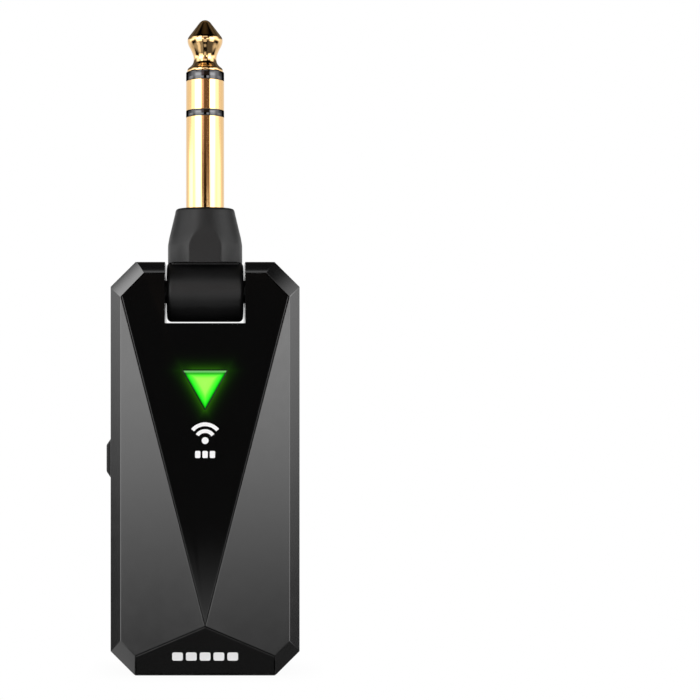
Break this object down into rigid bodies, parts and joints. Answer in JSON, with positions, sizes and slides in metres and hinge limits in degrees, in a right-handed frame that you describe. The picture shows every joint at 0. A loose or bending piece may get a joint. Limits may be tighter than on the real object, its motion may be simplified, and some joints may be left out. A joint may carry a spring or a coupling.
{
  "type": "wireless guitar transmitter",
  "caption": "Faceted pocket radio transmitter for a guitar, with a folding 6.35 mm three-contact plug, a lit triangle window and a side power button.",
  "frame": {"origin": "on the bottom end face, midway between the side walls and 0.6 mm behind the plane where the covers meet", "axes": "+Z from the bottom end towards the plug's tip, -Y out of the front face, +X to the right seen from the front"},
  "size_m": [0.0318, 0.014, 0.1084],
  "materials": {
    "shell_black": "satin moulded plastic",
    "window_black": "piano black",
    "moulding_black": "fine matt grain",
    "lamp_green": "clear lens, lit green",
    "nylon_white": "natural nylon",
    "board_green": "solder mask",
    "chip_black": "moulded epoxy",
    "ceramic_cream": "fired ceramic",
    "steel_plated": "nickel plated",
    "screw_black": "black zinc",
    "contact_gold": "polished gold plate",
    "insulator_black": "glossy moulded",
    "cell_foil": "laminated foil",
    "foam_grey": "foam tape",
    "wire_red": "wire insulation",
    "wire_black": "wire insulation",
    "wire_white": "wire insulation"
  },
  "bodies": {
    "housing": {"front_cover": "shell_black", "rear_cover": "shell_black", "front_window": "window_black", "lower_front_trim": "window_black", "lamp_lens": "lamp_green", "lamp_baffle": "moulding_black", "cover_screw_1": "screw_black", "cover_screw_2": "screw_black", "cover_screw_3": "screw_black", "cover_screw_4": "screw_black", "main_board": "board_green", "status_led": "nylon_white", "radio_chip": "chip_black", "shield_can": "steel_plated", "audio_codec_chip": "chip_black", "charger_chip": "chip_black", "power_inductor": "chip_black", "clock_crystal": "steel_plated", "chip_antenna": "ceramic_cream", "usb_socket_shell": "steel_plated", "usb_socket_tongue": "insulator_black", "switch_body": "chip_black", "battery_cell": "cell_foil", "battery_tape": "foam_grey", "battery_guard_board": "board_green", "battery_lead_positive": "wire_red", "battery_lead_negative": "wire_black", "left_hinge_bush": "nylon_white", "right_hinge_bush": "nylon_white", "board_wire_sleeve": "wire_black", "board_wire_tip": "wire_red", "board_wire_ring": "wire_white"},
    "plug": {"plug_base": "moulding_black", "left_hinge_pin": "screw_black", "right_hinge_pin": "screw_black", "left_friction_washer": "steel_plated", "right_friction_washer": "steel_plated", "left_retaining_clip": "steel_plated", "right_retaining_clip": "steel_plated", "plug_sleeve": "contact_gold", "lower_insulator": "insulator_black", "plug_ring": "contact_gold", "upper_insulator": "insulator_black", "plug_tip": "contact_gold", "sleeve_lug": "steel_plated", "tip_lug": "steel_plated", "plug_wire_sleeve": "wire_black", "plug_wire_tip": "wire_red", "plug_wire_ring": "wire_white"},
    "button": {"power_button": "moulding_black"},
    "plunger": {"switch_plunger": "nylon_white"}
  },
  "joints": [
    {"name": "plug_hinge", "type": "hinge", "parent": "housing", "child": "plug", "pos_m": [0, -0.0006, 0.06304], "axis": [1, 0, 0], "range_deg": [-90, 90]},
    {"name": "button_press", "type": "slide", "parent": "housing", "child": "button", "axis": [1, 0, 0], "range_m": [0, 0.0003], "stiffness_N_per_m": 2000},
    {"name": "plunger_press", "type": "slide", "parent": "housing", "child": "plunger", "axis": [1, 0, 0], "range_m": [0, 0.0003]}
  ],
  "couplings": [
    {"joint": "plunger_press", "follows": "button_press", "ratio": 1}
  ]
}
